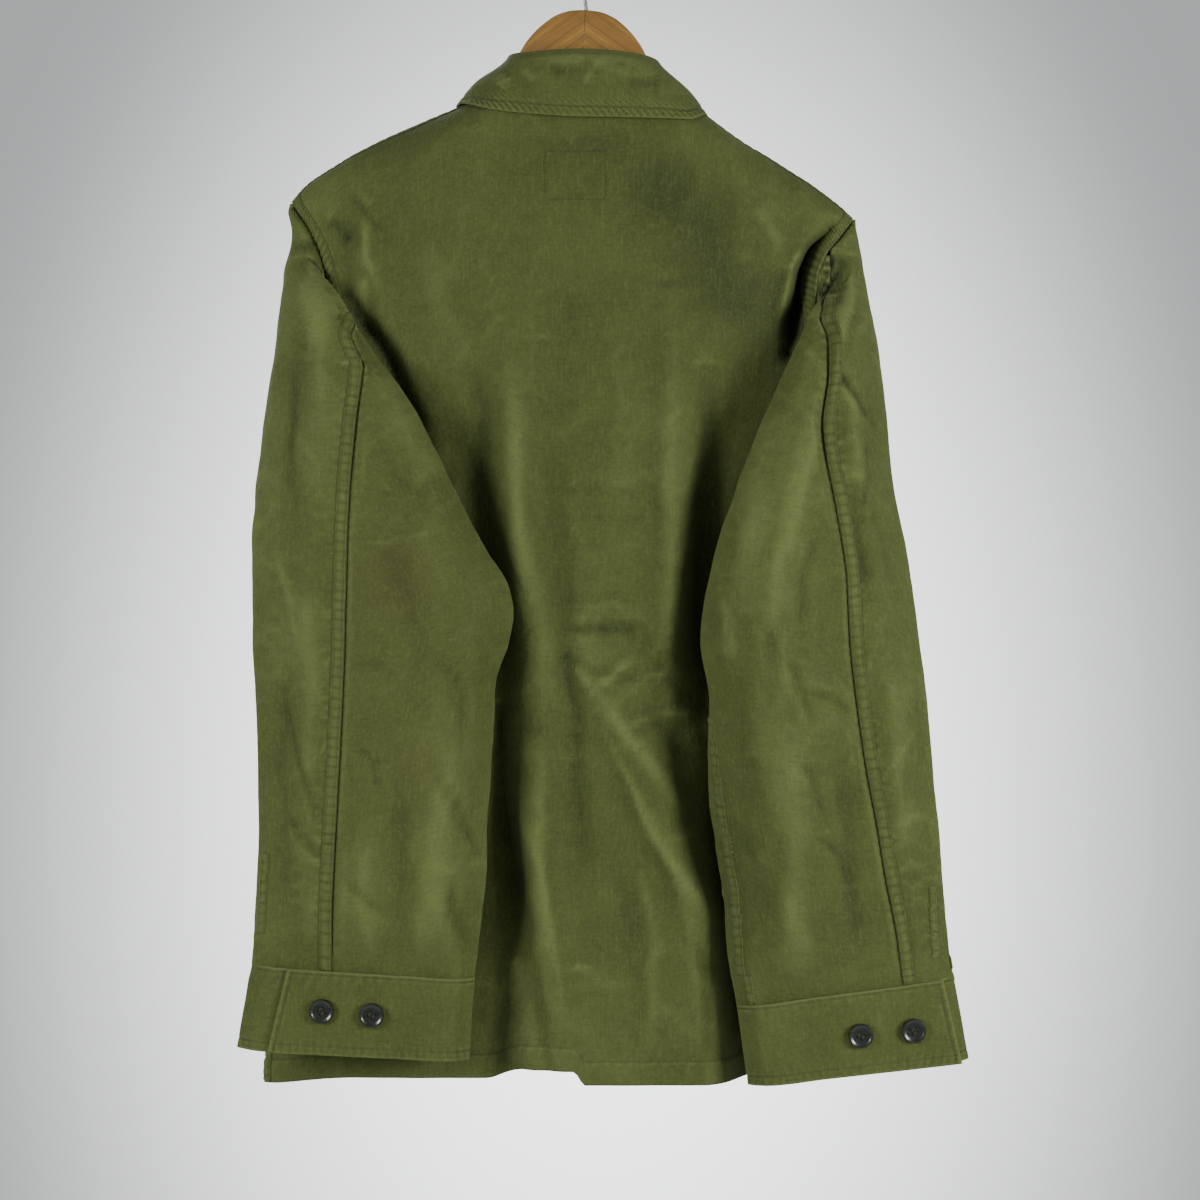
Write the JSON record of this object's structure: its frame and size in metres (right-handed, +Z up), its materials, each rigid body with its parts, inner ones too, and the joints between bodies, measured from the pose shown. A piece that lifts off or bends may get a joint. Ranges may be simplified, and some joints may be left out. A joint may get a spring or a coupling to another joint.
{
  "type": "bush jacket on a wooden hanger",
  "caption": "Hip-length cotton bush jacket with a turned-down collar and long cuffed sleeves, buttoned and hung flat on an arched wooden hanger with a wire hook.",
  "frame": {"origin": "the seat of the hook, where its bend rests on a rail", "axes": "+Z up, -Y out of the jacket's front, +Y out of its back, +X to the wearer's left"},
  "size_m": [0.5546, 0.1413, 0.8996],
  "materials": {
    "cotton": "washed olive cotton drill",
    "horn": "glossy dark green-black",
    "wood": "oiled light wood",
    "steel": "plated wire"
  },
  "bodies": {
    "root": {"back": "cotton", "front_left": "cotton", "front_right": "cotton", "collar": "cotton", "sleeve_top_left": "cotton", "sleeve_top_right": "cotton", "sleeve_under_left": "cotton", "sleeve_under_right": "cotton", "cuff_left": "cotton", "cuff_right": "cotton", "cuff_button_left_1": "horn", "cuff_button_left_2": "horn", "cuff_button_right_1": "horn", "cuff_button_right_2": "horn", "front_button_1": "horn", "front_button_2": "horn", "front_button_3": "horn", "front_button_4": "horn", "front_button_5": "horn", "hanger": "wood", "hook": "steel"}
  },
  "joints": []
}
